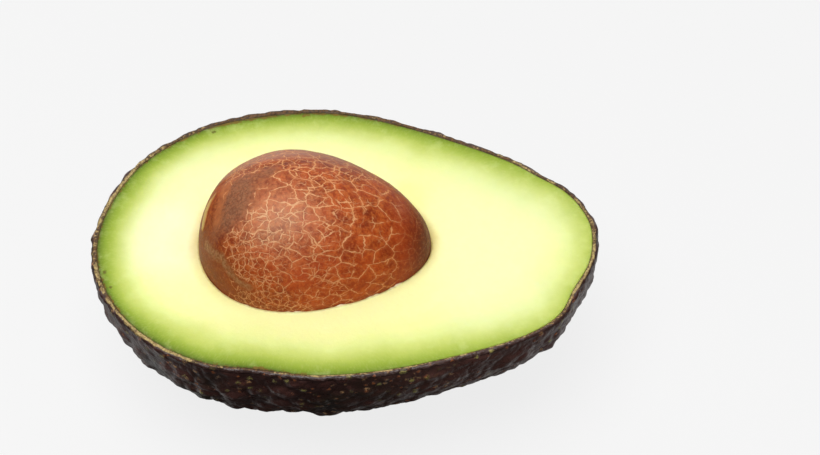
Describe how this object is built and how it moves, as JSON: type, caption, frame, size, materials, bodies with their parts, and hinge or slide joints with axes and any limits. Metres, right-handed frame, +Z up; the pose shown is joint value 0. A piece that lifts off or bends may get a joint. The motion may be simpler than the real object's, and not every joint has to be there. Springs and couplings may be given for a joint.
{
  "type": "halved avocado with its seed",
  "caption": "Cut half of an avocado lying on its pebbled back, with the seed still sitting in the level cut face.",
  "frame": {"origin": "middle of the flat spot on the back that the half rests on", "axes": "+Z up and square to the level cut face, +X along the fruit towards its narrow stem end, +Y across it"},
  "size_m": [0.1001, 0.07, 0.0509],
  "materials": {
    "skin": "pebbled, waxy and half glossy, near black with purple-brown and dark green patches and small tan specks",
    "flesh": "smooth moist cut, cream yellow round the seed and turning green towards the skin",
    "seed": "smooth papery coat, red-brown with a pale net of fine cracks, softly glossy"
  },
  "bodies": {
    "root": {"skin": "skin", "flesh": "flesh", "seed": "seed"}
  },
  "joints": []
}
